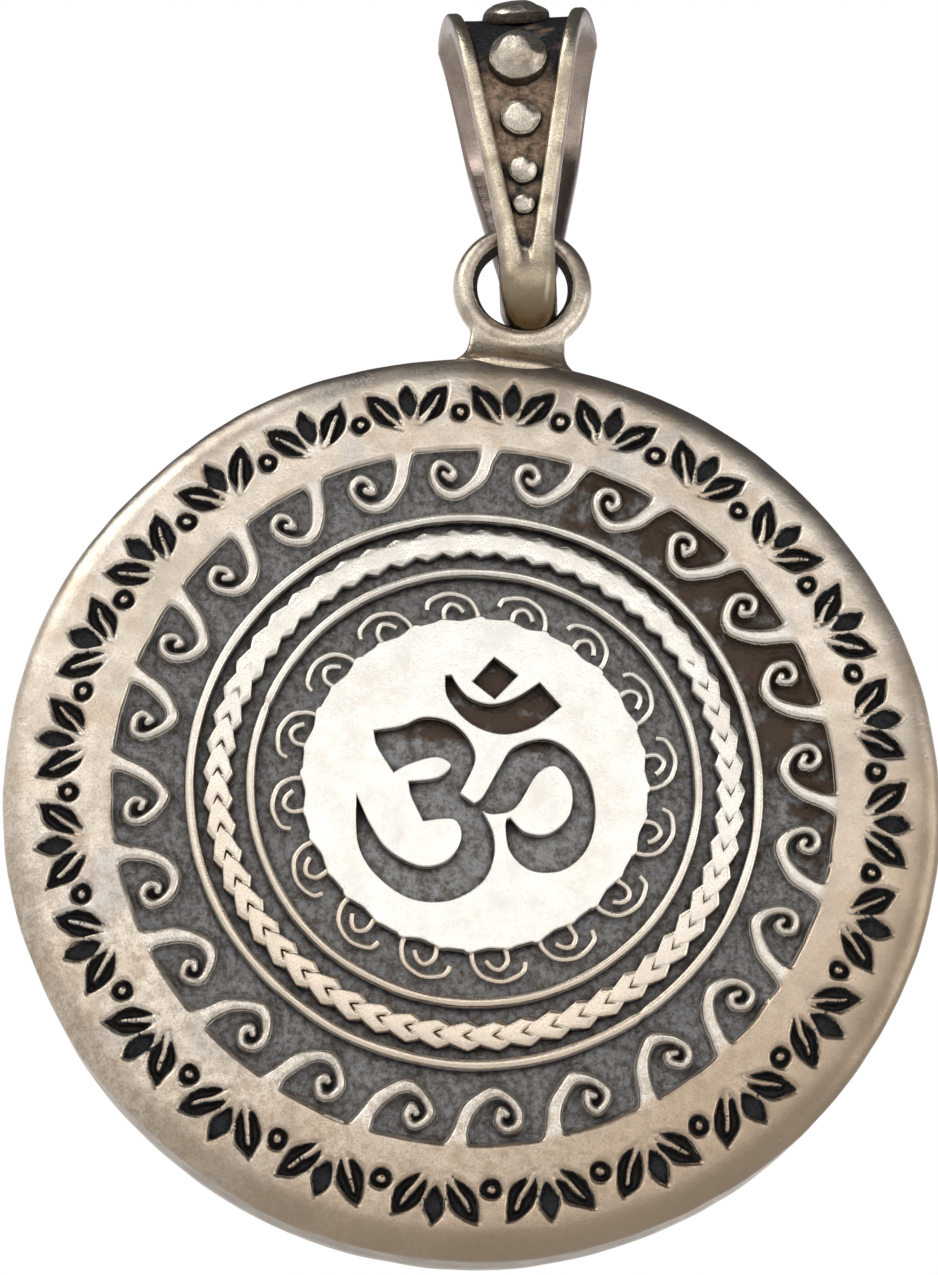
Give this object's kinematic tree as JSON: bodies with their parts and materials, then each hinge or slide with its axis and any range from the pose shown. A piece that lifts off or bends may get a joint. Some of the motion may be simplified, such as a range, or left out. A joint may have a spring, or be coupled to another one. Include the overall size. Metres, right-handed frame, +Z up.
{
  "type": "om pendant",
  "caption": "Round cast silver pendant with an om sign, wave and plait borders, a hanging ring and a tapered loose bail.",
  "frame": {"origin": "the chain's seat, on the inside of the bail's crown", "axes": "+Z up; the medallion faces -Y with its back towards +Y; +X is to the right of the sign as it is read"},
  "size_m": [0.036, 0.0095, 0.0537],
  "materials": {
    "medallion_silver": "polished silver, worn, with dark patina in its recesses",
    "wire_silver": "polished silver wire, dark between its strands",
    "boss_silver": "brightly polished silver, dark in the sunk sign",
    "ring_silver": "worn silver with porous solder at its neck",
    "strap_silver": "worn silver with a dark brown channel floor",
    "granule_silver": "silver with worn bright facets"
  },
  "bodies": {
    "bail": {"bail_strap": "strap_silver", "front_granule_1": "granule_silver", "front_granule_2": "granule_silver", "front_granule_3": "granule_silver", "front_granule_4": "granule_silver", "front_granule_5": "granule_silver", "rear_granule_1": "granule_silver", "rear_granule_2": "granule_silver", "rear_granule_3": "granule_silver", "rear_granule_4": "granule_silver", "rear_granule_5": "granule_silver"},
    "medallion": {"medallion_body": "medallion_silver", "outer_border_wire": "wire_silver", "plaited_ring": "wire_silver", "inner_border_wire": "wire_silver", "center_boss": "boss_silver", "hanging_ring": "ring_silver"}
  },
  "joints": [
    {"name": "medallion_swing", "type": "hinge", "parent": "bail", "child": "medallion", "pos_m": [0.00109, -0.0026, -0.01034], "axis": [1, 0, 0], "range_deg": [-120, 100]}
  ]
}
